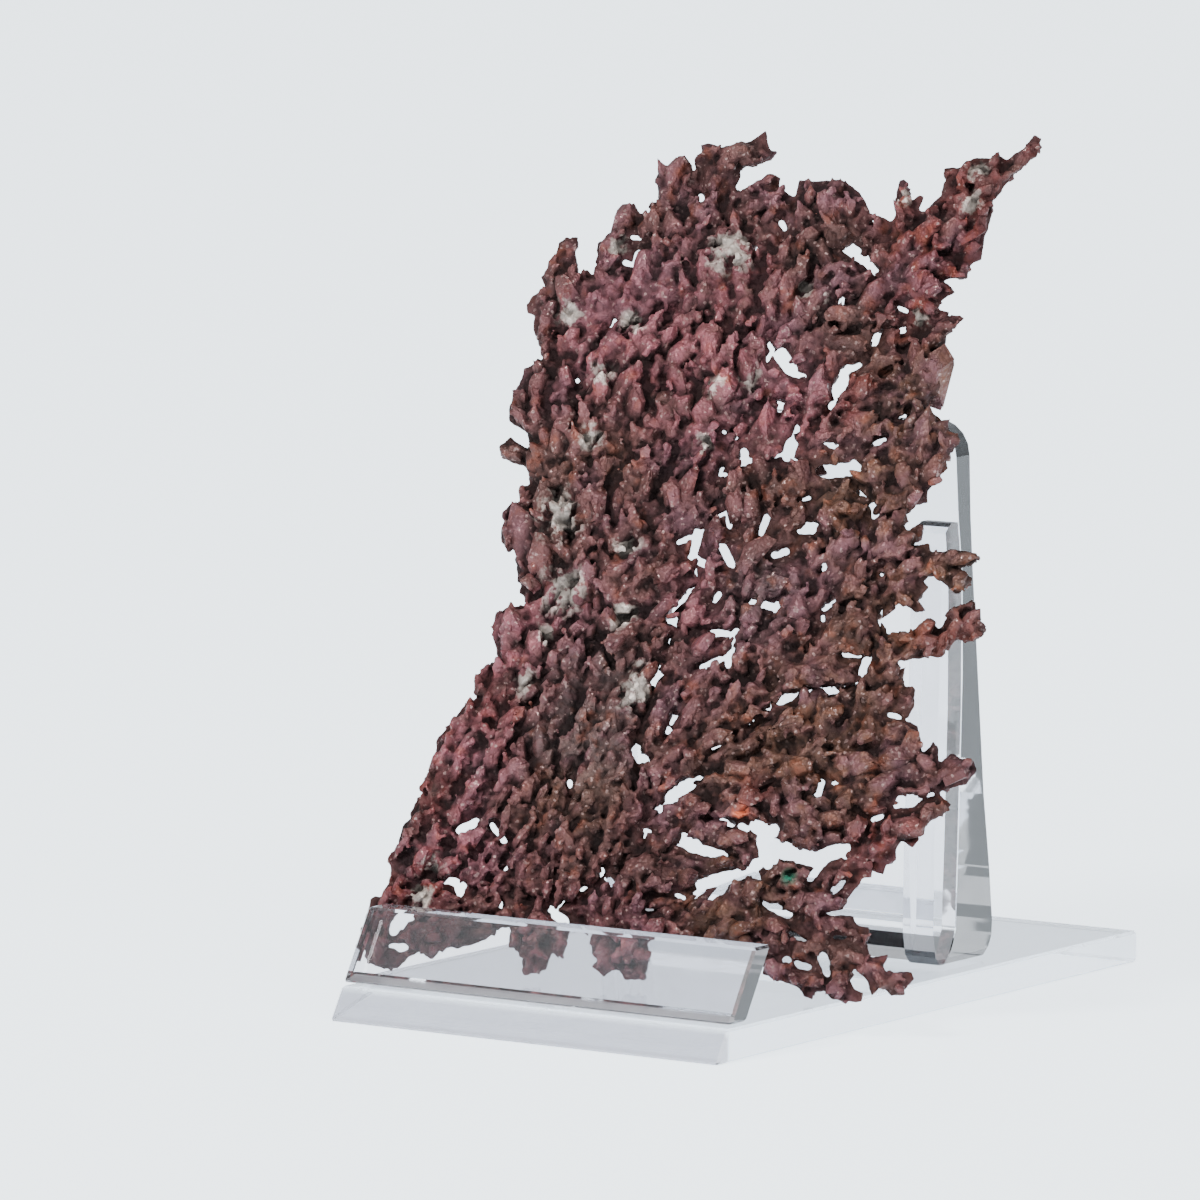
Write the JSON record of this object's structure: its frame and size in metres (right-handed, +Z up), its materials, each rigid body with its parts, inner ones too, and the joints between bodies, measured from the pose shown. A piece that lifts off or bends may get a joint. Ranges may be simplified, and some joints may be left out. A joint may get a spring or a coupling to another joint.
{
  "type": "mineral specimen on a display stand",
  "caption": "Flat branching plate of native copper crystals leaning on a small clear acrylic display stand.",
  "frame": {"origin": "middle of the underside of the stand's base plate", "axes": "+Z up; +X to the right along the front edge of the base; the lip side of the stand faces -Y"},
  "size_m": [0.0526, 0.0683, 0.0763],
  "materials": {
    "rest_acrylic": "clear polished acrylic",
    "base_acrylic": "clear polished acrylic",
    "copper_claw_metal": "native copper, bright and lightly tarnished",
    "copper_crown_metal": "native copper, bright and lightly tarnished",
    "copper_finger_metal": "native copper, bright and lightly tarnished",
    "copper_front_lobes_metal": "native copper, bright and lightly tarnished",
    "copper_left_column_metal": "native copper, bright and lightly tarnished",
    "copper_left_foot_metal": "native copper, bright and lightly tarnished",
    "copper_lower_fan_metal": "native copper, bright and lightly tarnished",
    "copper_lower_trunk_metal": "native copper, bright and lightly tarnished",
    "copper_middle_fan_metal": "native copper, bright and lightly tarnished",
    "copper_right_foot_metal": "native copper, bright and lightly tarnished",
    "copper_spike_metal": "native copper, bright and lightly tarnished",
    "copper_upper_fan_metal": "native copper, bright and lightly tarnished",
    "lip_acrylic": "clear polished acrylic",
    "left_rib_acrylic": "clear polished acrylic",
    "right_rib_acrylic": "clear polished acrylic"
  },
  "bodies": {
    "root": {"back_rest": "rest_acrylic", "base_plate": "base_acrylic", "copper_claw": "copper_claw_metal", "copper_crown": "copper_crown_metal", "copper_finger": "copper_finger_metal", "copper_front_lobes": "copper_front_lobes_metal", "copper_left_column": "copper_left_column_metal", "copper_left_foot": "copper_left_foot_metal", "copper_lower_fan": "copper_lower_fan_metal", "copper_lower_trunk": "copper_lower_trunk_metal", "copper_middle_fan": "copper_middle_fan_metal", "copper_right_foot": "copper_right_foot_metal", "copper_spike": "copper_spike_metal", "copper_upper_fan": "copper_upper_fan_metal", "front_lip": "lip_acrylic", "rib_left": "left_rib_acrylic", "rib_right": "right_rib_acrylic"}
  },
  "joints": []
}
